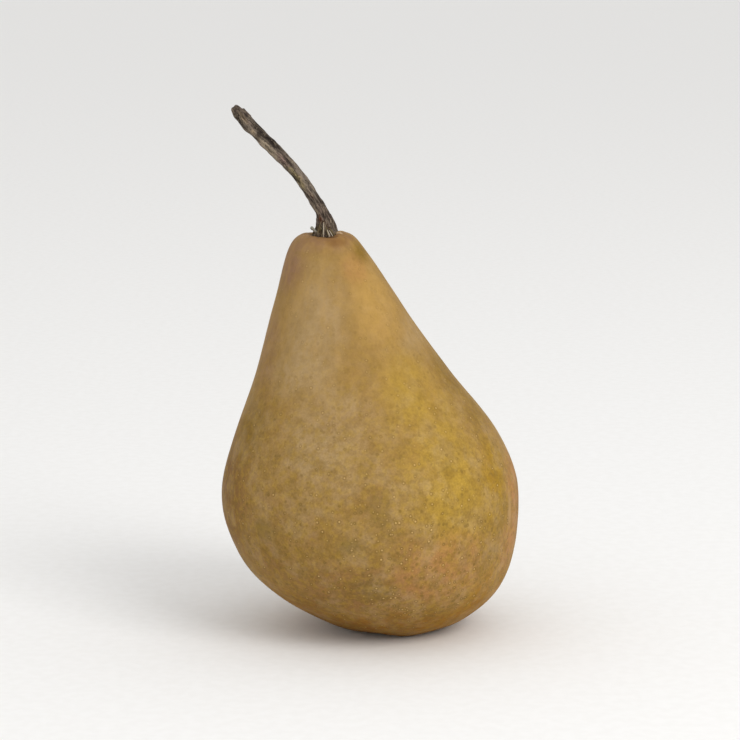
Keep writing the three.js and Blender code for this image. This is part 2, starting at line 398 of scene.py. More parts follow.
class Graph:
    """A shader node tree that is being laid out."""

    def __init__(self, tree: Tree) -> None:
        """Takes the tree to add to."""
        self.tree = tree

    def feed(self, socket: Socket, value: object) -> None:
        """Links a socket to another, or sets its value.

        Args:
            socket: The input socket.
            value: An output socket or a plain value.
        """
        if isinstance(value, Socket):
            self.tree.links.new(value, socket)
        else:
            socket.default_value = value

    def add(self, kind: str, feeds: dict[int | str, object], **settings: object) -> ShaderNode:
        """Adds one node.

        Args:
            kind: The node's type.
            feeds: What goes into its sockets, by number or name.
            **settings: Its other properties.

        Returns:
            The node.
        """
        node = self.tree.nodes.new(kind)
        for name, value in settings.items():
            setattr(node, name, value)
        for socket, value in feeds.items():
            self.feed(node.inputs[socket], value)
        return node

    def math(self, operation: str, first: object, second: object = 0.0) -> Socket:
        """The result of a sum on one or two numbers."""
        return self.add("ShaderNodeMath", {0: first, 1: second}, operation=operation).outputs[0]

    def vector(self, operation: str, first: object, second: object = (0, 0, 0)) -> Socket:
        """The result of a sum on one or two vectors."""
        node = self.add("ShaderNodeVectorMath", {0: first, 1: second}, operation=operation)
        return node.outputs["Value" if operation in ("LENGTH", "DISTANCE") else "Vector"]

    def scaled(self, vector: object, factor: object) -> Socket:
        """A vector times a number."""
        node = self.add("ShaderNodeVectorMath", {0: vector, "Scale": factor}, operation="SCALE")
        return node.outputs["Vector"]

    def fade(
        self, value: object, low: object, high: object, start: object = 0.0, end: object = 1.0
    ) -> Socket:
        """A smooth step from start to end as the value goes from low to high."""
        feeds = {"Value": value, "From Min": low, "From Max": high, "To Min": start, "To Max": end}
        return self.add("ShaderNodeMapRange", feeds, interpolation_type="SMOOTHSTEP").outputs["Result"]

    def mix(self, share: object, under: object, over: object, blend: str = "MIX") -> Socket:
        """One colour laid over another."""
        feeds = {0: share, 6: under, 7: over}
        return self.add("ShaderNodeMix", feeds, data_type="RGBA", blend_type=blend).outputs[2]

    def lay(self, mask: Socket, share: object, under: object, tone: Tone) -> Socket:
        """A tone laid over a colour by a mask times a share."""
        return self.mix(self.math("MULTIPLY", mask, share), under, tone.rgba)

    def noise(self, vector: object, size: float, detail: float = 2.0, roughness: float = 0.5) -> Socket:
        """Smooth noise whose swellings have a size in the vector's unit."""
        feeds = {"Vector": vector, "Scale": 1 / size, "Detail": detail, "Roughness": roughness}
        return self.add("ShaderNodeTexNoise", feeds).outputs["Fac"]

    def wander(self, places: Socket, scale: float, detail: float) -> Socket:
        """A random shift for each place, up to half a unit each way."""
        cloud = self.add("ShaderNodeTexNoise", {"Vector": places, "Scale": scale, "Detail": detail})
        return self.vector("SUBTRACT", cloud.outputs["Color"], (0.5, 0.5, 0.5))

    def shifted(self, places: Socket, shift: Socket, reach: float) -> Socket:
        """Places moved by a shift times a reach."""
        return self.vector("ADD", places, self.scaled(shift, reach))

    def group(self, tree: Tree, feeds: dict[int | str, object]) -> ShaderNode:
        """Adds a node group and fills its sockets."""
        return self.add("ShaderNodeGroup", feeds, node_tree=tree)


def new_group(name: str, inputs: dict[str, str], outputs: dict[str, str]) -> tuple[Graph, dict, dict]:
    """Starts a node group.

    Args:
        name: The group's name.
        inputs: The kind of each input socket, by name.
        outputs: The kind of each output socket, by name.

    Returns:
        The group's graph, its input sockets and its output sockets, each by name.
    """
    tree = bpy.data.node_groups.new(name, "ShaderNodeTree")
    for label, kind in inputs.items():
        tree.interface.new_socket(name=label, in_out="INPUT", socket_type=f"NodeSocket{kind}")
    for label, kind in outputs.items():
        tree.interface.new_socket(name=label, in_out="OUTPUT", socket_type=f"NodeSocket{kind}")
    entrance = tree.nodes.new("NodeGroupInput")
    way_out = tree.nodes.new("NodeGroupOutput")
    return (
        Graph(tree),
        {label: entrance.outputs[label] for label in inputs},
        {label: way_out.inputs[label] for label in outputs},
    )


@cache
def patch_group() -> Tree:
    """A soft-edged egg-shaped mask round a centre.

    Returns:
        The group, built on the first call.
    """
    inputs = {"Vector": "Vector", "Centre": "Vector", "Reach": "Vector"}
    graph, source, result = new_group("Soft patch", inputs, {"Mask": "Float"})
    offset = graph.vector("SUBTRACT", source["Vector"], source["Centre"])
    distance = graph.vector("LENGTH", graph.vector("DIVIDE", offset, source["Reach"]))
    graph.feed(result["Mask"], graph.fade(distance, 0.25, 1.0, 1.0, 0.0))
    return graph.tree


@cache
def mottle_group() -> Tree:
    """Cloudy blotches of one size, with a threshold and a softness.

    Returns:
        The group, built on the first call.
    """
    inputs = {"Vector": "Vector", "Size": "Float", "Threshold": "Float", "Softness": "Float"}
    graph, source, result = new_group("Mottling", inputs, {"Mask": "Float"})
    scaled = graph.vector("DIVIDE", source["Vector"], source["Size"])
    cloud = graph.noise(scaled, 1.0, detail=3.0, roughness=0.55)
    low = graph.math("SUBTRACT", source["Threshold"], source["Softness"])
    high = graph.math("ADD", source["Threshold"], source["Softness"])
    graph.feed(result["Mask"], graph.fade(cloud, low, high))
    return graph.tree


@cache
def dots_group() -> Tree:
    """Small round dots scattered through space, each with a rim, some faint and some left out.

    Returns:
        The group, built on the first call.
    """
    inputs = {"Vector": "Vector", "Spacing": "Float", "Radius": "Float", "Rim": "Float", "Share": "Float"}
    graph, source, result = new_group("Scattered dots", inputs, {"Dot": "Float", "Rim": "Float"})
    scaled = graph.vector("DIVIDE", source["Vector"], source["Spacing"])
    cells = graph.add("ShaderNodeTexVoronoi", {"Vector": scaled, "Scale": 1.0})
    distance = graph.math("MULTIPLY", cells.outputs["Distance"], source["Spacing"])
    draw = graph.add("ShaderNodeSeparateColor", {0: cells.outputs["Color"]}).outputs
    chosen = graph.math("LESS_THAN", draw[0], source["Share"])
    kept = graph.math("MULTIPLY", chosen, graph.fade(draw[2], 0.0, 1.0, 0.3, 1.0))
    radius = graph.math("MULTIPLY", source["Radius"], graph.fade(draw[1], 0.0, 1.0, 0.6, 1.25))
    dot = graph.fade(distance, graph.math("MULTIPLY", radius, 0.2), radius, 1.0, 0.0)
    rim = graph.fade(distance, radius, source["Rim"], 1.0, 0.0)
    graph.feed(result["Dot"], graph.math("MULTIPLY", dot, kept))
    graph.feed(result["Rim"], graph.math("MULTIPLY", graph.math("SUBTRACT", rim, dot), kept))
    return graph.tree


@cache
def streaks_group() -> Tree:
    """Streaks that run along Z, of a width and a length.

    Returns:
        The group, built on the first call.
    """
    inputs = {"Vector": "Vector", "Width": "Float", "Length": "Float", "Threshold": "Float"}
    graph, source, result = new_group("Lengthwise streaks", inputs, {"Mask": "Float", "Height": "Float"})
    size = graph.add("ShaderNodeCombineXYZ", {0: source["Width"], 1: source["Width"], 2: source["Length"]})
    scaled = graph.vector("DIVIDE", source["Vector"], size.outputs[0])
    fibres = graph.noise(scaled, 1.0, detail=4.0, roughness=0.6)
    low = graph.math("SUBTRACT", source["Threshold"], 0.08)
    high = graph.math("ADD", source["Threshold"], 0.08)
    graph.feed(result["Mask"], graph.fade(fibres, low, high))
    graph.feed(result["Height"], fibres)
    return graph.tree


def new_material(name: str) -> tuple[Material, Graph, ShaderNode]:
    """Starts a material.

    Args:
        name: The material's name.

    Returns:
        The material, its graph and its Principled shader.
    """
    material = bpy.data.materials.new(name)
    material.use_nodes = True
    shader = material.node_tree.nodes["Principled BSDF"]
    return material, Graph(material.node_tree), shader


def object_places(graph: Graph) -> Socket:
    """A point's place in the part's own frame, in millimetres."""
    source = graph.add("ShaderNodeTexCoord", {})
    return graph.scaled(source.outputs["Object"], 1 / MM)


def straight_places(graph: Graph) -> Socket:
    """A point's place in millimetres before its piece was bent."""
    return graph.add("ShaderNodeAttribute", {}, attribute_name=STRAIGHT).outputs["Vector"]


# Finishes


@dataclass(frozen=True)
class Zone:
    """A soft-edged stretch of surface with a tone laid on it, mostly the surface's own colour, in some zones
    painted shade, sheen or highlight.
    """

    tone: Tone
    centre: Place
    reach: Place
    share: float = 1.0


def lay_zones(graph: Graph, places: Socket, colour: object, zones: Sequence[Zone]) -> Socket:
    """Lays zones of colour over a ground colour.

    Args:
        graph: The material's graph.
        places: The places that the zones are measured in.
        colour: The ground colour.
        zones: The zones, the lowest first.

    Returns:
        The colour with every zone laid on.
    """
    for zone in zones:
        feeds = {"Vector": places, "Centre": zone.centre, "Reach": zone.reach}
        mask = graph.group(patch_group(), feeds).outputs["Mask"]
        colour = graph.lay(mask, zone.share, colour, zone.tone)
    return colour


@dataclass(frozen=True, kw_only=True)
class Finish:
    """What every finish has: how rough and how glossy it is, and its bump."""

    roughness: float = 0.85
    specular: float = 0.5
    bump: float = 0.5
    bump_depth: float = 0.08

    def feed_shader(
        self, graph: Graph, shader: ShaderNode, colour: Socket, roughness: Socket, height: Socket
    ) -> None:
        """Feeds a material's Principled shader.

        Args:
            graph: The material's graph.
            shader: The shader.
            colour: Its base colour.
            roughness: Its roughness.
            height: The height of its bump, of which 1 stands out by the bump's depth.
        """
        feeds = {"Strength": self.bump, "Distance": self.bump_depth * MM, "Height": height}
        normal = graph.add("ShaderNodeBump", feeds).outputs["Normal"]
        for name, value in (("Base Color", colour), ("Roughness", roughness), ("Normal", normal)):
            graph.feed(shader.inputs[name], value)
        shader.inputs["Specular IOR Level"].default_value = self.specular


@dataclass(frozen=True)
class SkinFinish(Finish):
    """Satin russet skin: soft zones of gold, beige, olive and rose, mottling and pale lenticels, with painted
    shade on the left, underneath and round the stalk's foot, and a partly painted sheen and a painted
    highlight streak on the right limb.
    """

    roughness: float = 0.5
    specular: float = 0.03
    bump: float = 0.2
    bump_depth: float = 0.12
    drift: float = 6.0  # how far the zones' edges wander
    mark_drift: float = 2.0
    drift_scale: float = 1 / 12  # swellings of the wandering to the millimetre
    calm_height: float = 85.0  # from here up the mottling is faint
    dot_spacing: float = 1.3
    dot_radius: float = 0.3
    rim_radius: float = 0.65
    crowded: Zone = Zone(Tone.LENTICEL, (14, -30, 24), (40, 30, 26))
    zones: tuple[Zone, ...] = (
        Zone(Tone.GOLD, (15, -24, 57), (17, 17, 28), 0.55),
        Zone(Tone.GOLD, (21, -30, 40), (18, 15, 20), 0.75),
        Zone(Tone.GOLD, (9, -20, 66), (10, 12, 14), 0.4),
        Zone(Tone.OLIVE, (20, -5, 67), (7, 13, 15), 0.95),
        Zone(Tone.BEIGE, (10, -8, 75), (6, 10, 9), 0.5),
        Zone(Tone.WARM_GOLD, (1, -12, 84), (9, 12, 18), 0.8),
        Zone(Tone.BEIGE, (-13, -16, 76), (11, 14, 28), 0.8),
        Zone(Tone.BEIGE, (-19, -14, 67), (8, 10, 13), 0.5),
        Zone(Tone.BEIGE, (-11, -30, 54), (16, 14, 22), 0.6),
        # painted shade: the left side darkened, away from the key light
        Zone(Tone.CHESTNUT, (-38, -4, 36), (18, 32, 28), 1.0),
        Zone(Tone.OLIVE, (-30, -15, 55), (6, 12, 14), 0.8),
        Zone(Tone.ROSE, (-25, -8, 74), (5, 10, 20), 0.45),
        # painted shade: darker towards the bottom on the front left
        Zone(Tone.CHESTNUT, (-27, -27, 22), (14, 12, 12), 0.35),
        Zone(Tone.ROSE, (-20, -5, 93), (7, 10, 10), 0.8),
        Zone(Tone.ROSE, (-11, -3, 99), (13, 11, 5), 0.75),
        # painted shade round the stalk's foot
        Zone(Tone.CHESTNUT, (-9, -4, 99.6), (11, 6, 2.6), 0.5),
        Zone(Tone.ROSY_TAN, (-4, -9, 92), (4, 7, 7), 0.4),
        Zone(Tone.OLIVE, (-2.0, -3, 96), (3.5, 8, 5), 1.0),
        Zone(Tone.OLIVE_YELLOW, (31, -19, 43), (6, 12, 20), 0.9),
        Zone(Tone.OLIVE, (26, -8, 57), (5, 14, 9), 0.6),
        # partly painted sheen: a lighter rosy-tan band along the right limb, over the skin's own rosy flush
        Zone(Tone.ROSY_TAN, (38, -6, 36), (6, 18, 26), 0.9),
        Zone(Tone.ROSY_TAN, (35, -13, 22), (5, 12, 12), 0.6),
        # partly painted shade: the right limb darkened to a pink russet
        Zone(Tone.PINK_RUSSET, (40, -5, 32), (6, 18, 26), 0.45),
        Zone(Tone.PINK_RUSSET, (-3, -34, 17), (30, 16, 11), 0.6),
        Zone(Tone.ROSY_TAN, (18, -31, 22), (20, 14, 13), 0.6),
        Zone(Tone.OLIVE_GREY, (1, -34, 18), (9, 9, 5), 0.5),
        Zone(Tone.AMBER, (30, -16, 10), (13, 20, 12), 0.8),
        # partly painted shade: the orange-brown underside, darkened towards the bottom
        Zone(Tone.ORANGE_BROWN, (-24, -16, 9), (20, 20, 11), 0.5),
        Zone(Tone.ORANGE_BROWN, (5, -5, 0), (70, 70, 16), 1.0),
        Zone(Tone.AMBER, (18, -14, 4), (12, 14, 9), 0.7),
        # painted shade: darker towards the bottom
        Zone(Tone.CHESTNUT, (-14, -26, 11.5), (12, 12, 6), 0.5),
        Zone(Tone.CHESTNUT, (-10, -16, 3), (24, 24, 8), 0.6),
        Zone(Tone.GOLD, (-12, 30, 52), (22, 18, 24), 0.6),
        Zone(Tone.OLIVE, (20, 28, 34), (16, 14, 18), 0.5),
        Zone(Tone.PINK_RUSSET, (-16, 26, 18), (20, 18, 12), 0.6),
        Zone(Tone.BEIGE, (4, 18, 76), (16, 14, 18), 0.5),
    )
    marks: tuple[Zone, ...] = (
        Zone(Tone.OLIVE_GREY, (-25.8, -27.4, 31), (4.5, 5, 4), 0.35),
        Zone(Tone.OLIVE_GREY, (-5, -37, 29), (4, 4, 3), 0.4),
        Zone(Tone.OLIVE_GREY, (2.3, -37, 38), (5, 4, 7), 0.2),
        # painted highlight: a thin pale streak in the right limb's band
        Zone(Tone.SCAR, (34.6, -14.5, 33), (1.0, 3.0, 8.0), 0.45),
        # painted shade: the shoulder's shadow right of the stalk's foot, and the shadow round and under the
        # foot
        Zone(Tone.CHESTNUT, (-7.5, -7.5, 98.4), (4.5, 3.5, 1.6), 0.45),
        Zone(Tone.CREVICE, (-11.0, 0, 99.0), (5.0, 5.0, 1.6), 0.7),
        Zone(Tone.CREVICE, (-10.0, -4.9, 99.5), (3.0, 1.6, 1.2), 0.95),
        # painted shade: the calyx basin darkened
        Zone(Tone.CREVICE, (6.6, 0, 6), (6.2, 6.2, 4.5), 0.8),
    )

    def material(self) -> Material:
        """The skin's material.

        Returns:
            The material.
        """
        material, graph, shader = new_material("russet_skin")
        places = object_places(graph)
        shift = graph.wander(places, self.drift_scale, 3.0)
        colour = lay_zones(graph, graph.shifted(places, shift, self.drift), Tone.RUSSET.rgba, self.zones)
        colour, fine = self._mottle(graph, places, colour)
        colour = lay_zones(graph, graph.shifted(places, shift, self.mark_drift), colour, self.marks)
        colour, dot = self._lenticels(graph, places, colour)
        satin = graph.fade(fine, 0.3, 0.7, self.roughness - 0.05, self.roughness + 0.07)
        rough = graph.math("ADD", satin, graph.math("MULTIPLY", dot, 0.1))
        height = graph.math("ADD", fine, graph.math("MULTIPLY", dot, 0.8))
        self.feed_shader(graph, shader, colour, rough, height)
        return material

    def _mottle(self, graph: Graph, places: Socket, colour: Socket) -> tuple[Socket, Socket]:
        """Clouds of olive, rose and beige over the zones, fainter on the neck, which is streaked.

        Args:
            graph: The material's graph.
            places: Places in millimetres.
            colour: The colour underneath.

        Returns:
            The mottled colour, and the finest grain of it.
        """
        blotches = (
            (Tone.BEIGE, 6.5, 0.54, 0.12, 0.42),
            (Tone.PINK_RUSSET, 8.0, 0.58, 0.1, 0.22),
            (Tone.OLIVE, 4.2, 0.53, 0.12, 0.4),
            (Tone.OLIVE, 2.1, 0.55, 0.1, 0.38),
            (Tone.OLIVE_GREY, 1.2, 0.58, 0.1, 0.2),
            (Tone.GOLD, 1.5, 0.55, 0.12, 0.28),
        )
        height = graph.add("ShaderNodeSeparateXYZ", {0: places}).outputs["Z"]
        strength = graph.fade(height, 40.0, self.calm_height, 1.0, 0.3)
        for index, (tone, size, threshold, softness, share) in enumerate(blotches):
            moved = graph.vector("ADD", places, (31.0 * index, 17.0, 5.0 * index))
            feeds = {"Vector": moved, "Size": size, "Threshold": threshold, "Softness": softness}
            mask = graph.math("MULTIPLY", graph.group(mottle_group(), feeds).outputs["Mask"], strength)
            colour = graph.lay(mask, share, colour, tone)
        for tone, width, share in ((Tone.WARM_GOLD, 2.6, 0.2), (Tone.OLIVE, 3.4, 0.14)):
            feeds = {"Vector": places, "Width": width, "Length": 30.0, "Threshold": 0.54}
            streaks = graph.group(streaks_group(), feeds).outputs["Mask"]
            on_neck = graph.fade(height, 55.0, 75.0, 0.0, share)
            colour = graph.lay(streaks, on_neck, colour, tone)
        fine = graph.noise(places, 0.55, detail=3.0, roughness=0.6)
        shade = graph.fade(fine, 0.3, 0.7, 0.42, 0.58)
        tint = graph.add("ShaderNodeCombineColor", {0: shade, 1: shade, 2: shade}).outputs[0]
        return graph.mix(graph.math("MULTIPLY", strength, 0.6), colour, tint, "OVERLAY"), fine

    def _lenticels(self, graph: Graph, places: Socket, colour: Socket) -> tuple[Socket, Socket]:
        """Pale dots with darker olive rims, crowded low on the right and faint on the neck.

        Args:
            graph: The material's graph.
            places: Places in millimetres.
            colour: The colour underneath.

        Returns:
            The dotted colour, and the dots alone.
        """
        feeds = {"Vector": places, "Centre": self.crowded.centre, "Reach": self.crowded.reach}
        crowd = graph.fade(graph.group(patch_group(), feeds).outputs["Mask"], 0.0, 1.0, 0.4, 0.95)
        sizes = {"Spacing": self.dot_spacing, "Radius": self.dot_radius, "Rim": self.rim_radius}
        dots = graph.group(dots_group(), {"Vector": places, **sizes, "Share": crowd}).outputs
        height = graph.add("ShaderNodeSeparateXYZ", {0: places}).outputs["Z"]
        rim = graph.math("MULTIPLY", dots["Rim"], graph.fade(height, 25.0, self.calm_height, 0.55, 0.2))
        dot = graph.math("MULTIPLY", dots["Dot"], graph.fade(height, 25.0, self.calm_height, 0.75, 0.35))
        colour = graph.mix(rim, colour, Tone.LENTICEL_RIM.rgba)
        return graph.mix(dot, colour, Tone.LENTICEL.rgba), dots["Dot"]


@dataclass(frozen=True)
class BarkFinish(Finish):
    """Dry grey-brown bark with lengthwise streaks, dark cracks and a darker right side, partly its own dark
    bark and partly painted shade.
    """

    roughness: float = 0.82
    specular: float = 0.1
    bump: float = 0.6
    bump_depth: float = 0.12
    drift: float = 1.2  # how far the zones' edges wander
    mark_drift: float = 0.5
    drift_scale: float = 0.7
    root_length: float = 5.0  # the straight places start at the foot of the root
    crack_floor: float = 0.12  # bark that is raised less than this is darkest
    crack_top: float = 0.34
    zones: tuple[Zone, ...] = (
        Zone(Tone.BARK_BROWN, (0, 0, 3), (4, 4, 9), 0.95),
        Zone(Tone.BARK_PALE, (-1.0, -1.6, 28), (1.7, 2.4, 7), 0.8),
        Zone(Tone.BARK_YELLOW, (-0.6, -1.4, 16.5), (1.3, 1.6, 5), 0.8),
        Zone(Tone.BARK_PINK, (-0.2, -1.5, 22), (1.4, 1.4, 3), 0.7),
        Zone(Tone.BARK_BROWN, (0, 0, 38.5), (4, 4, 4), 0.6),
        # partly painted shade: the stalk's right side darkened, over its own dark bark
        Zone(Tone.BARK_DARK, (1.9, -0.4, 30), (1.3, 2.6, 9), 0.8),
        Zone(Tone.BARK_DARK, (1.0, -1.2, 29), (1.0, 1.7, 9.5), 1.0),
        Zone(Tone.BARK_DARK, (2.3, -0.6, 8), (1.7, 3.0, 10), 0.9),
    )
    marks: tuple[Zone, ...] = (
        Zone(Tone.BARK_RED, (-0.1, -1.4, 10.8), (0.6, 1.0, 1.6), 0.85),
        Zone(Tone.FOOT_OLIVE, (-1.5, -2.2, 1.8), (1.7, 2.0, 2.0), 0.9),
        Zone(Tone.FOOT_ORANGE, (-1.0, -1.8, 4.6), (0.6, 1.3, 1.6), 0.9),
        # painted shade: dark spots down the front of the foot, in its crevices
        Zone(Tone.CREVICE, (-0.3, -2.2, 3.7), (0.65, 1.2, 0.9), 1.0),
        Zone(Tone.CREVICE, (0.3, -2.4, 2.8), (0.65, 1.2, 0.8), 1.0),
        Zone(Tone.CREVICE, (0.95, -2.5, 1.9), (0.65, 1.2, 0.8), 0.9),
        Zone(Tone.BARK_PINK, (1.2, -2.9, 0.9), (0.9, 1.0, 0.7), 0.6),
        # painted shade: the root darkened where it enters the flesh
        Zone(Tone.CREVICE, (0.3, -0.5, -0.1), (4.8, 4.8, 1.8), 1.0),
        Zone(Tone.BARK_DARK, (-1.2, -1.6, 36.6), (0.8, 1.7, 3.4), 0.8),
        Zone(Tone.SPLIT_WOOD, (0.0, -1.9, 36.3), (0.75, 1.3, 2.6), 0.95),
        Zone(Tone.BARK_DARK, (0.9, -1.7, 33.4), (0.6, 1.2, 1.4), 0.7),
        Zone(Tone.SPLIT_WOOD, (-0.5, -1.8, 32.3), (0.75, 1.0, 0.9), 0.9),
    )

    def material(self) -> Material:
        """The bark's material, which follows the bent stalk.

        Returns:
            The material.
        """
        material, graph, shader = new_material("stalk_bark")
        places = graph.vector("SUBTRACT", straight_places(graph), (0, 0, self.root_length))
        shift = graph.wander(places, self.drift_scale, 2.0)
        drifting = graph.shifted(places, shift, self.drift)
        colour = lay_zones(graph, drifting, Tone.BARK.rgba, self.zones)
        colour = lay_zones(graph, graph.shifted(places, shift, self.mark_drift), colour, self.marks)
        bands = (
            (Tone.BARK_PALE, 0.7, 7.0, 0.58, 0.4),
            (Tone.BARK_DARK, 0.55, 4.5, 0.53, 0.65),
            (Tone.BARK_PINK, 0.9, 6.0, 0.6, 0.3),
            (Tone.BARK_DARK, 0.26, 1.6, 0.55, 0.6),
            (Tone.BARK_PALE, 0.22, 1.2, 0.6, 0.45),
        )
        height = 0.0
        for index, (tone, width, length, threshold, share) in enumerate(bands):
            moved = graph.vector("ADD", drifting, (7.0 * index, 3.0 * index, 11.0 * index))
            feeds = {"Vector": moved, "Width": width, "Length": length, "Threshold": threshold}
            streaks = graph.group(streaks_group(), feeds).outputs
            colour = graph.lay(streaks["Mask"], share, colour, tone)
            height = graph.math("ADD", height, streaks["Height"])
        feeds = {"Vector": places, "Spacing": 1.1, "Radius": 0.16, "Rim": 0.3, "Share": 0.35}
        dots = graph.group(dots_group(), feeds).outputs
        colour = graph.lay(dots["Dot"], 0.5, colour, Tone.BARK_PALE)
        raised = graph.add("ShaderNodeAttribute", {}, attribute_name=RELIEF).outputs["Fac"]
        cracks = graph.fade(raised, self.crack_floor, self.crack_top, 0.85, 0.0)
        colour = graph.mix(cracks, colour, Tone.BARK_DARK.rgba)
        rough = graph.fade(height, 2.0, 3.0, self.roughness - 0.1, self.roughness + 0.1)
        self.feed_shader(graph, shader, colour, rough, height)
        return material


@dataclass(frozen=True)
class DryFinish(Finish):
    """Dry plant matter of one main tone with lengthwise streaks."""

    name: str
    ground: Tone
    dark: Tone
    pale: Tone
    width: float = 0.3
    length: float = 2.0

    def material(self) -> Material:
        """The material, which follows a bent piece.

        Returns:
            The material.
        """
        material, graph, shader = new_material(self.name)
        places = straight_places(graph)
        feeds = {"Vector": places, "Width": self.width, "Length": self.length, "Threshold": 0.52}
        dark = graph.group(streaks_group(), feeds).outputs
        moved = graph.vector("ADD", places, (5.0, 9.0, 2.0))
        pale = graph.group(streaks_group(), {**feeds, "Vector": moved, "Threshold": 0.56}).outputs
        colour = graph.lay(dark["Mask"], 0.7, self.ground.rgba, self.dark)
        colour = graph.lay(pale["Mask"], 0.6, colour, self.pale)
        rough = graph.fade(dark["Height"], 0.3, 0.7, self.roughness - 0.08, self.roughness + 0.08)
        self.feed_shader(graph, shader, colour, rough, dark["Height"])
        return material


# The pear


@dataclass
class Fruit:
    """The fruit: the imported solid's form made smooth, with the unevenness of real skin."""

    stalk_x: float = -11.2
    basin_x: float = 6.6
    unevenness: float = 0.22
    unevenness_size: float = 9.0
    pitting: float = 0.05
    pitting_size: float = 2.4
    crevice_radius: float = 3.4
    crevice_depth: float = 0.35
    dent: tuple[float, float] = (-10.3, -4.4)  # x and y, in front of the stalk's foot
    wrinkle_radius: float = 4.6
    wrinkle_count: int = 13
    wrinkle_depth: float = 0.3
    pucker_radius: float = 5.2
    pucker_count: int = 10
    pucker_depth: float = 0.5
    relief_reach: float = 9.0  # how far from its middle the relief round the stalk or the calyx goes
    top_height: float = 90.0  # the relief round the stalk is above this
    basin_height: float = 9.0  # the relief round the calyx is below this
    basin_floor: float = 0.6
    shoulders: tuple[tuple[float, float], ...] = ((-7.4, 1.5), (-16.2, 1.8))  # each one's x and reach
    shoulder_rise: float = 0.35
    shoulder_heights: tuple[float, float] = (89.0, 97.0)  # the skin calms down between these
    contact_height: float = 1.5  # below this the form stays as packed, to rest flat
    levels: int = 2
    finish: SkinFinish = field(default_factory=SkinFinish)

    def build(self) -> list[Piece]:
        """Builds the fruit and dresses it.

        Returns:
            The fruit, as the only piece.
        """
        skin = copy_piece(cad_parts[Node.FRUIT.value], "fruit_skin")
        select_only(skin)
        bpy.ops.mesh.customdata_custom_splitnormals_clear()
        with editing(skin):
            bpy.ops.mesh.remove_doubles(threshold=WELD)
            bpy.ops.mesh.tris_convert_to_quads(face_threshold=0.7, shape_threshold=1.2)
        subdivide_smoothly(skin, self.levels)
        for relief, rise in (
            (self._unevenness, -self.unevenness),
            (self._pitting, -self.pitting),
            (self._crevice, -self.crevice_depth),
            (self._wrinkles, -self.wrinkle_depth),
            (self._puckers, -self.pucker_depth),
            (self._shoulders, self.shoulder_rise),
        ):
            raise_relief(skin, relief, rise)
        dress(skin, self.finish.material(), Node.FRUIT)
        return [skin]

    def _between_ends(self, place: Vector) -> float:
        """0 where the fruit rests and on its shoulders, and 1 between them."""
        above_contact = ease(place.z, self.contact_height, 4 * self.contact_height)
        return above_contact * (1 - ease(place.z, *self.shoulder_heights))

    def _unevenness(self, place: Vector) -> float:
        """Broad shallow hollows."""
        return self._between_ends(place) * ripple(place, self.unevenness_size)

    def _pitting(self, place: Vector) -> float:
        """Small shallow pits."""
        return self._between_ends(place) * ripple(place, self.pitting_size, 4.0)

    def _crevice(self, place: Vector) -> float:
        """A ring that is pressed in round the stalk's foot, and a dent in front of it.

        Args:
            place: Where, in millimetres.

        Returns:
            The share of the crevice's depth.
        """
        distance, angle = round_upright(place, self.stalk_x)
        if place.z < self.top_height or distance > self.relief_reach:
            return 0.0
        uneven = 0.75 + 0.25 * math.sin(5 * angle + 1)
        front = bell(place.x - self.dent[0], 2.4) * bell(place.y - self.dent[1], 1.2)
        return max(uneven * bell(distance - self.crevice_radius, 0.6), front)

    def _wrinkles(self, place: Vector) -> float:
        """Fine folds that run out from the stalk's foot.

        Args:
            place: Where, in millimetres.

        Returns:
            The share of the wrinkles' depth.
        """
        distance, angle = round_upright(place, self.stalk_x)
        if place.z < self.top_height or distance > self.relief_reach:
            return 0.0
        folds = 0.5 + 0.5 * math.sin(self.wrinkle_count * angle + 3 * ripple(place, 3.0))
        return folds**2 * bell(distance - self.wrinkle_radius, 1.7) * ripple(place, 2.0, 9.0)

    def _shoulders(self, place: Vector) -> float:
        """A low swelling on both sides of the stalk's foot.

        Args:
            place: Where, in millimetres.

        Returns:
            The share of the shoulders' rise.
        """
        if place.z < self.top_height + 4:
            return 0.0
        return sum(bell(place.x - middle, reach) for middle, reach in self.shoulders) * bell(place.y, 6.0)

    def _puckers(self, place: Vector) -> float:
        """Folds that run out of the basin round the calyx.

        Args:
            place: Where, in millimetres.

        Returns:
            The share of the puckers' depth.
        """
        distance, angle = round_upright(place, self.basin_x)
        if distance > self.relief_reach or not self.basin_floor <= place.z <= self.basin_height:
            return 0.0
        folds = 0.5 + 0.5 * math.sin(self.pucker_count * angle + 4 * ripple(place, 4.0))
        return folds * bell(distance - self.pucker_radius, 1.5) * ease(place.z, self.basin_floor, 2.0)


@dataclass(frozen=True)
class Knot:
    """The scar of an old bud: a low swelling on the stalk."""

    along: float
    angle: float
    height: float


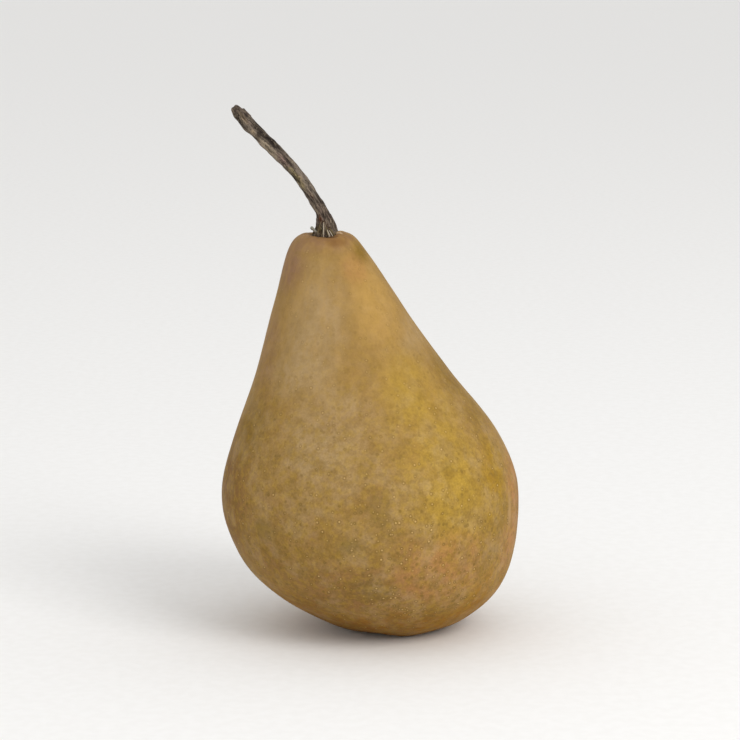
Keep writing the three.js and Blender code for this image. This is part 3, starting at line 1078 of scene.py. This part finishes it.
@dataclass
class Stalk:
    """The woody stalk with its ribbed foot, the fibres and the stub on it, and its torn end."""

    sides: int = 32
    stations: int = 62
    levels: int = 2
    root_length: float = 5.0
    # The radius over the bark against the distance along the axis from the flesh.
    outline: tuple[tuple[float, float], ...] = (
        (2.3, -5.0), (2.3, -0.6), (3.0, 0.1), (2.75, 0.9), (2.55, 1.8), (2.3, 2.9),
        (2.05, 4.0), (1.72, 5.0), (1.55, 6.2), (1.42, 8.0), (1.42, 13.0), (1.35, 18.0),
        (1.48, 22.0), (1.52, 27.0), (1.57, 32.0), (1.68, 36.0), (1.75, 38.3), (1.6, 39.5),
    )
    end_rings: tuple[tuple[float, float], ...] = ((1.2, 39.85), (0.8, 39.8), (0.4, 39.65))
    # Where the axis runs, from the floor of the socket to the torn end. The rod is turned by the way in
    # which its first stretch leans, so that stretch leans a little to the right.
    path: tuple[Place, ...] = (
        (-11.2, 0.0, 94.3), (-11.1, 0.0, 97.4), (-10.9, 0.0, 100.8), (-11.3, 0.1, 103.3),
        (-12.4, 0.2, 106.3), (-16.1, 0.6, 112.0), (-20.9, 1.1, 117.9), (-26.9, 1.6, 123.8),
        (-30.4, 1.8, 127.3), (-33.4, 2.1, 131.6),
    )
    knots: tuple[Knot, ...] = (
        Knot(8.5, math.radians(200), 0.2), Knot(11.2, math.radians(185), 0.2),
        Knot(14.0, math.radians(60), 0.4), Knot(23.5, math.radians(150), 0.35),
        Knot(27.0, math.radians(15), 0.5), Knot(28.8, math.radians(190), 0.15),
        Knot(32.3, math.radians(110), 0.4), Knot(34.2, math.radians(185), 0.45),
    )
    knot_length: float = 1.2
    knot_spread: float = 0.5
    bark_depth: float = 0.45
    grain_depth: float = 0.2
    bark_share: float = 0.3  # how far the bark stands out of the turned form on the average
    toe_depth: float = 0.75
    toe_share: float = 0.25
    toe_count: int = 15
    fan: float = 0.4  # how far the ribs and the fibres close up towards the front and the back
    fibre_count: int = 13
    fibre_radius: float = 0.19
    strand_profile: tuple[float, ...] = (0.25, 0.7, 1.0, 0.95, 1.0, 0.8, 0.35)  # shares of its radius
    knot_depth: float = 0.7
    tear_depth: float = 3.4
    # The share of the tear's depth that the end is torn down by, against the distance right of the axis.
    tear_profile: tuple[tuple[float, float], ...] = (
        (-1.9, 0.3), (-1.5, 0.1), (-0.9, 0.02), (0.1, 0.0), (0.6, 0.15), (0.95, 0.46), (1.15, 0.5),
        (1.4, 0.42), (1.65, 0.6), (1.9, 0.9),
    )
    finish: BarkFinish = field(default_factory=BarkFinish)

    def build(self) -> list[Piece]:
        """Builds the stalk, its foot's fibres and the stub, and dresses them.

        Returns:
            The pieces.
        """
        pale = DryFinish("pale_fibre", Tone.FIBRE_PALE, Tone.BARK_PALE, Tone.FIBRE_PALE)
        finished = (
            (self._bark(), self.finish),
            (self._fibres(), DryFinish("foot_fibre", Tone.FOOT_OLIVE, Tone.CREVICE, Tone.BARK)),
            (self._pale_fibres(), pale),
            (self._flake(), DryFinish("pale_flake", Tone.BEIGE, Tone.BARK_PINK, Tone.SCAR)),
            (self._stub(), DryFinish("stub", Tone.STUB_GREY, Tone.BARK, Tone.FIBRE_PALE)),
        )
        for piece, finish in finished:
            dress(piece, finish.material(), Node.STALK)
        return [piece for piece, _ in finished]

    def _radius(self, along: float) -> float:
        """The turned form's radius, with the bark's thickness taken off.

        Args:
            along: The distance along the axis from the flesh.

        Returns:
            The radius there.
        """
        radius = blend_points([(place, radius) for radius, place in self.outline], along)
        bark = self.bark_share * ease(along, -0.6, 0.6)
        toes = self.toe_share * ease(along, -0.6, 0.3) * (1 - ease(along, 0.8, 4.5))
        return radius - bark - toes

    def _bark(self) -> Piece:
        """The stalk itself, straight at first, with its relief, then bent.

        Returns:
            The piece.
        """
        start, end = self.outline[0][1], self.outline[-1][1]
        heights = [start + (end - start) * index / self.stations for index in range(self.stations + 1)]
        heights = sorted({*heights, self.outline[1][1], self.outline[2][1]})
        sections = [(self._radius(height), height) for height in heights] + list(self.end_rings)
        raised = [(radius, height + self.root_length) for radius, height in sections]
        bark = turn_rod("stalk_bark", self.sides, raised)
        subdivide_smoothly(bark, self.levels)
        for relief, rise in (
            (self._ridges, self.bark_depth),
            (self._toes, self.toe_depth),
            (self._grain, self.grain_depth),
            (self._swellings, self.knot_depth),
        ):
            raise_relief(bark, relief, rise)
        raise_relief(bark, self._tear, -self.tear_depth, "Z")
        bend_along(bark, self.path)
        return bark

    def _above_root(self, place: Vector) -> float:
        """The distance along the axis from the flesh."""
        return place.z - self.root_length

    def _ridges(self, place: Vector) -> float:
        """Lengthwise ridges of bark.

        Args:
            place: Where on the straight rod, in millimetres.

        Returns:
            The share of the ridges' height.
        """
        along = self._above_root(place)
        if along < -1:
            return 0.0
        lengthwise = Vector((place.x / 0.9, place.y / 0.9, along / 7))
        ridges = 1 - abs(noise.noise(lengthwise)) * 2.6
        lumps = ripple(Vector((place.x, place.y, along)), 2.2, 6.0)
        return 0.5 * max(ridges, 0) + 0.5 * lumps

    def _toes(self, place: Vector) -> float:
        """Ribs that fan out over the foot and end on the flesh, no two alike.

        Args:
            place: Where on the straight rod, in millimetres.

        Returns:
            The share of the ribs' height.
        """
        along = self._above_root(place)
        if along < -0.6:
            return 0.0
        angle = math.atan2(place.y, place.x)
        angle += self.fan * ease(along, 0, 5) * math.sin(2 * (angle + QUARTER_TURN))
        wandering = self.toe_count * angle + 2.5 * ripple(place, 2.4) + 1.2 * math.sin(2 * angle)
        rib = (0.5 + 0.5 * math.cos(wandering)) ** 1.4
        uneven = 0.45 + 0.55 * ripple(Vector((place.x, place.y, 0.0)), 1.6, 3.0)
        return rib * uneven * (1 - ease(along, 1.2, 5.2))

    def _grain(self, place: Vector) -> float:
        """Fine cracks and scales between the ridges.

        Args:
            place: Where on the straight rod, in millimetres.

        Returns:
            The share of the grain's height.
        """
        along = self._above_root(place)
        if along < -1:
            return 0.0
        fine = noise.noise(Vector((place.x / 0.33, place.y / 0.33, along / 1.8)))
        return max(0.0, 0.5 + 0.5 * fine)

    def _swellings(self, place: Vector) -> float:
        """The knots.

        Args:
            place: Where on the straight rod, in millimetres.

        Returns:
            The share of the knots' height.
        """
        along = self._above_root(place)
        angle = math.atan2(-place.y, place.x)
        share = 0.0
        for knot in self.knots:
            lengthwise = bell(along - knot.along, self.knot_length)
            share += knot.height * lengthwise * bell(turn_between(angle, knot.angle), self.knot_spread)
        return share

    def _tear(self, place: Vector) -> float:
        """How far a place near the end is torn down.

        Args:
            place: Where on the straight rod, in millimetres.

        Returns:
            The share of the tear's depth.
        """
        along = self._above_root(place)
        end = self.outline[-1][1]
        torn = ease(along, end - 1.3 * self.tear_depth, end - 0.1)
        if torn == 0:
            return 0.0
        splinters = 0.1 * noise.noise(Vector((place.x / 0.35, place.y / 0.35, along / 3)))
        return torn * (blend_points(self.tear_profile, place.x) + max(splinters, 0.0))

    def _fibres(self) -> Piece:
        """Dark fibres that run down the foot and end on the flesh.

        Returns:
            The piece.
        """
        pieces = []
        for index in range(self.fibre_count):
            angle = FULL_TURN * index / self.fibre_count + 0.12 * math.sin(7 * index)
            closed = angle - self.fan * math.sin(2 * (angle + QUARTER_TURN))
            halfway = (angle + closed) / 2
            top = Vector((-11.1, 0.05, 102.4 + 0.9 * math.sin(5 * index))) + 2.1 * heading(closed)
            middle = Vector((-10.95, 0, 100.9)) + (2.6 + 0.1 * math.sin(4 * index)) * heading(halfway)
            foot = Vector((-11.0, 0, 99.5)) + (3.35 + 0.35 * math.sin(3 * index + 1)) * heading(angle)
            radius = self.fibre_radius * (1 + 0.3 * math.sin(11 * index))
            pieces.append(self._strand(f"fibre_{index}", radius, (top, middle, foot)))
        return join(pieces, "foot_fibres")

    def _pale_fibres(self) -> Piece:
        """Pale fibres that stand out from the front of the foot.

        Returns:
            The piece.
        """
        courses = (
            (0.12, (-11.5, -2.2, 103.0), (-11.5, -2.9, 101.2), (-11.5, -3.6, 99.2)),
            (0.15, (-10.7, -2.6, 101.3), (-10.3, -2.95, 100.4), (-9.9, -3.4, 99.4)),
            (0.14, (-10.1, -2.4, 101.0), (-9.6, -2.65, 100.2), (-9.1, -3.0, 99.4)),
        )
        pieces = [
            self._strand(f"pale_fibre_{index}", radius, places)
            for index, (radius, *places) in enumerate(courses)
        ]
        return join(pieces, "pale_fibres")

    def _flake(self) -> Piece:
        """A pale flake of bark that lies on the flesh to the right of the foot."""
        places = ((-8.5, -1.5, 100.0), (-7.6, -2.3, 100.0), (-6.8, -2.9, 99.85))
        return self._strand("pale_flake", 0.55, places)

    def _strand(self, name: str, radius: float, places: Sequence[Place | Vector]) -> Piece:
        """A tapering strand along a few places.

        Args:
            name: The strand's name.
            radius: Its greatest radius.
            places: The places that it runs through.

        Returns:
            The strand.
        """
        path = smooth_path(places)
        length = sum((after - before).length for before, after in zip(path, path[1:]))
        last = len(self.strand_profile) - 1
        sections = [
            (radius * share, length * index / last) for index, share in enumerate(self.strand_profile)
        ]
        strand = turn_rod(name, 8, sections)
        subdivide_smoothly(strand, 2)
        raise_relief(strand, lambda place: ripple(place, 0.5, radius), 0.35 * radius)
        bend_along(strand, places)
        return strand

    def _stub(self) -> Piece:
        """The stub of a dried bract, with a thicker rounded end.

        Returns:
            The piece.
        """
        sections = (
            (0.36, 0.0), (0.36, 0.7), (0.3, 1.3), (0.28, 1.8),
            (0.36, 2.2), (0.42, 2.5), (0.35, 2.8), (0.15, 2.9),
        )
        stub = turn_rod("bract_stub", 10, sections)
        subdivide_smoothly(stub, 2)
        raise_relief(stub, lambda place: ripple(place, 0.5), 0.1)
        bend_along(stub, ((-12.4, -1.2, 99.8), (-13.5, -1.35, 100.6), (-14.6, -1.4, 101.6)))
        return stub


@dataclass
class Calyx:
    """The dried calyx in the basin underneath: a short tube, five curled sepals and withered stamens."""

    centre_x: float = 6.6
    tube_radius: float = 2.3
    sepal_count: int = 5
    sepal_length: float = 5.6
    sepal_width: float = 2.9
    sepal_rows: int = 9
    sepal_thickness: float = 0.32
    stamen_count: int = 11
    # A stamen's radius against the share of its length.
    stamen_profile: tuple[tuple[float, float], ...] = (
        (0.12, 0), (0.12, 0.4), (0.1, 0.75), (0.2, 0.85), (0.22, 0.93), (0.1, 1),
    )

    def build(self) -> list[Piece]:
        """Builds the tube, the sepals and the stamens, and dresses them.

        Returns:
            The pieces.
        """
        papery = DryFinish("dry_sepal", Tone.CALYX_BROWN, Tone.CALYX_DARK, Tone.CALYX_PALE, 0.5, 2.5)
        wiry = DryFinish("dry_stamen", Tone.CALYX_DARK, Tone.CALYX_BROWN, Tone.CALYX_PALE, 0.2, 1.0)
        pieces = [self._tube(), self._sepals(), self._stamens()]
        dry = papery.material()
        for piece, material in zip(pieces, (dry, dry, wiry.material())):
            piece.data.transform(Matrix.Translation((self.centre_x * MM, 0, 0)))
            dress(piece, material, Node.CALYX)
        return pieces

    def _tube(self) -> Piece:
        """The calyx tube, open below.

        Returns:
            The piece.
        """
        radius = self.tube_radius
        sections = (
            (0.3, 6.2), (1.0, 6.1), (radius - 0.8, 5.6), (radius - 0.75, 4.9),
            (radius - 0.5, 4.4), (radius - 0.1, 4.35), (radius, 4.8), (radius, 6.0),
            (radius, 8.0), (1.2, 8.2), (0.3, 8.3),
        )
        tube = turn_rod("calyx_tube", 20, sections)
        subdivide_smoothly(tube, 2)
        raise_relief(tube, lambda place: ripple(place, 0.9), 0.25)
        bend_along(tube, ((0, 0, 0), (0, 0, 5), (0, 0, 10)))
        return tube

    def _blade(self) -> Piece:
        """One flat sepal along +X, tapered and crinkled.

        Returns:
            The piece.
        """
        bpy.ops.object.select_all(action="DESELECT")
        bpy.ops.mesh.primitive_grid_add(x_subdivisions=self.sepal_rows, y_subdivisions=6, size=MM)
        blade = bpy.context.active_object
        blade.name = "sepal"
        size = Matrix.Diagonal((self.sepal_length, self.sepal_width, 1, 1))
        blade.data.transform(size @ Matrix.Translation((0.5 * MM, 0, 0)))
        rows = sorted({round(vertex.co.x, 7) for vertex in blade.data.vertices})
        for row in rows:
            share = row / (self.sepal_length * MM)
            width = max(0.08, (1 - share) ** 0.7 * (1 + 0.35 * math.sin(math.pi * share)))
            with editing(blade):
                bpy.ops.mesh.select_all(action="DESELECT")
                bpy.ops.object.mode_set(mode="OBJECT")
                for vertex in blade.data.vertices:
                    vertex.select = abs(vertex.co.x - row) < WELD
                bpy.ops.object.mode_set(mode="EDIT")
                bpy.ops.transform.resize(value=(1, width, 1), center_override=(row, 0, 0))
        apply_modifier(blade, "SOLIDIFY", thickness=self.sepal_thickness * MM, offset=0.0)
        subdivide_smoothly(blade, 2)
        raise_relief(blade, lambda place: ripple(place, 1.1), 0.5, "Z")
        return blade

    def _sepals(self) -> Piece:
        """Five sepals, curled down along the basin.

        Returns:
            The piece.
        """
        blade = self._blade()
        sepals = []
        for index in range(self.sepal_count):
            droop = 0.35 * math.sin(3 * index)
            sepal = copy_piece(blade, f"sepal_{index}")
            places = ((1.5, 0, 4.5), (3.0, 0, 4.2), (4.6, 0, 3.1 + 0.4 * droop), (5.8, 0, 1.5 + droop))
            bend_along(sepal, places, "POS_X")
            turn = index / self.sepal_count * FULL_TURN + 0.3 + 0.12 * math.sin(5 * index)
            sepal.data.transform(Matrix.Rotation(turn, 4, "Z"))
            sepals.append(sepal)
        bpy.data.objects.remove(blade)
        return join(sepals, "sepals")

    def _stamens(self) -> Piece:
        """Withered stamens with small heads, leaning out of the tube.

        Returns:
            The piece.
        """
        stamens = []
        for index in range(self.stamen_count):
            turn = index / self.stamen_count * FULL_TURN + 0.2 * math.sin(4 * index)
            length = 2.6 + 0.5 * math.sin(7 * index)
            sections = [(radius, share * length) for radius, share in self.stamen_profile]
            stamen = turn_rod(f"stamen_{index}", 6, sections)
            subdivide_smoothly(stamen, 1)
            lean = 0.5 + 0.25 * math.sin(3 * index)
            out = heading(turn)
            start = Vector((0, 0, 5.8)) + 0.9 * out
            middle = start + Vector((0, 0, -length / 2)) + 0.2 * lean * out
            end = start + Vector((0, 0, -length)) + lean * out
            bend_along(stamen, (start, middle, end))
            stamens.append(stamen)
        return join(stamens, "stamens")


# The studio


@dataclass
class Studio:
    """A pale floor, soft light from the front right, and the camera."""

    floor_reach: float = 40.0  # metres
    paper_grain: float = 3.0
    paper_roughness: float = 0.9
    paper_specular: float = 0.1
    ambient: float = 0.86
    key_power: float = 8.0
    key_size: float = 0.7
    key_place: Place = (0.75, -0.8, 0.8)
    lens: float = 135.0
    sensor: float = 36.0
    distance: float = 0.69375
    elevation: float = math.radians(10)
    look_at: Place = (0.0, 0.0, 0.0655)

    def build(self) -> None:
        """Builds the floor, the lights and the camera."""
        self._floor()
        self._light()
        self._camera()

    def _floor(self) -> None:
        """A wide pale floor."""
        bpy.ops.object.select_all(action="DESELECT")
        bpy.ops.mesh.primitive_circle_add(vertices=96, radius=self.floor_reach, fill_type="NGON")
        floor = bpy.context.active_object
        floor.name = "studio_floor"
        material, graph, shader = new_material("studio_paper")
        grain = graph.noise(object_places(graph), self.paper_grain)
        tone = graph.mix(graph.fade(grain, 0.3, 0.7, 0.0, 0.15), Tone.PAPER.rgba, Tone.WHITE.rgba)
        graph.feed(shader.inputs["Base Color"], tone)
        shader.inputs["Roughness"].default_value = self.paper_roughness
        shader.inputs["Specular IOR Level"].default_value = self.paper_specular
        floor.data.materials.append(material)

    def _light(self) -> None:
        """An even bright surround and one large soft light."""
        scene = bpy.context.scene
        scene.view_settings.view_transform = "Standard"
        world = bpy.data.worlds.new("studio_surround")
        world.use_nodes = True
        backdrop = world.node_tree.nodes["Background"]
        backdrop.inputs["Color"].default_value = Tone.WHITE.rgba
        backdrop.inputs["Strength"].default_value = self.ambient
        scene.world = world
        key = bpy.data.lights.new("key_softbox", "AREA")
        key.energy = self.key_power
        key.size = self.key_size
        lamp = bpy.data.objects.new("key_softbox", key)
        lamp.location = self.key_place
        aim = Vector(self.look_at) - lamp.location
        lamp.rotation_euler = aim.to_track_quat("-Z", "Y").to_euler()
        scene.collection.objects.link(lamp)

    def _camera(self) -> None:
        """A long lens that looks slightly down on the pear."""
        lens = bpy.data.cameras.new("camera")
        lens.lens = self.lens
        lens.sensor_width = self.sensor
        lens.sensor_height = self.sensor
        camera = bpy.data.objects.new("camera", lens)
        back = Vector((0, -math.cos(self.elevation), math.sin(self.elevation)))
        camera.location = Vector(self.look_at) + self.distance * back
        camera.rotation_euler = (QUARTER_TURN - self.elevation, 0, 0)
        bpy.context.scene.collection.objects.link(camera)
        bpy.context.scene.camera = camera


def main() -> None:
    """Builds the studio and the pear, and reports each piece."""
    logging.basicConfig(level=logging.INFO, format="%(name)s: %(message)s")
    Studio().build()
    for part in (Fruit(), Stalk(), Calyx()):
        for piece in part.build():
            log.info("%s: %d faces", piece.name, len(piece.data.polygons))


if __name__ == "__main__":
    main()
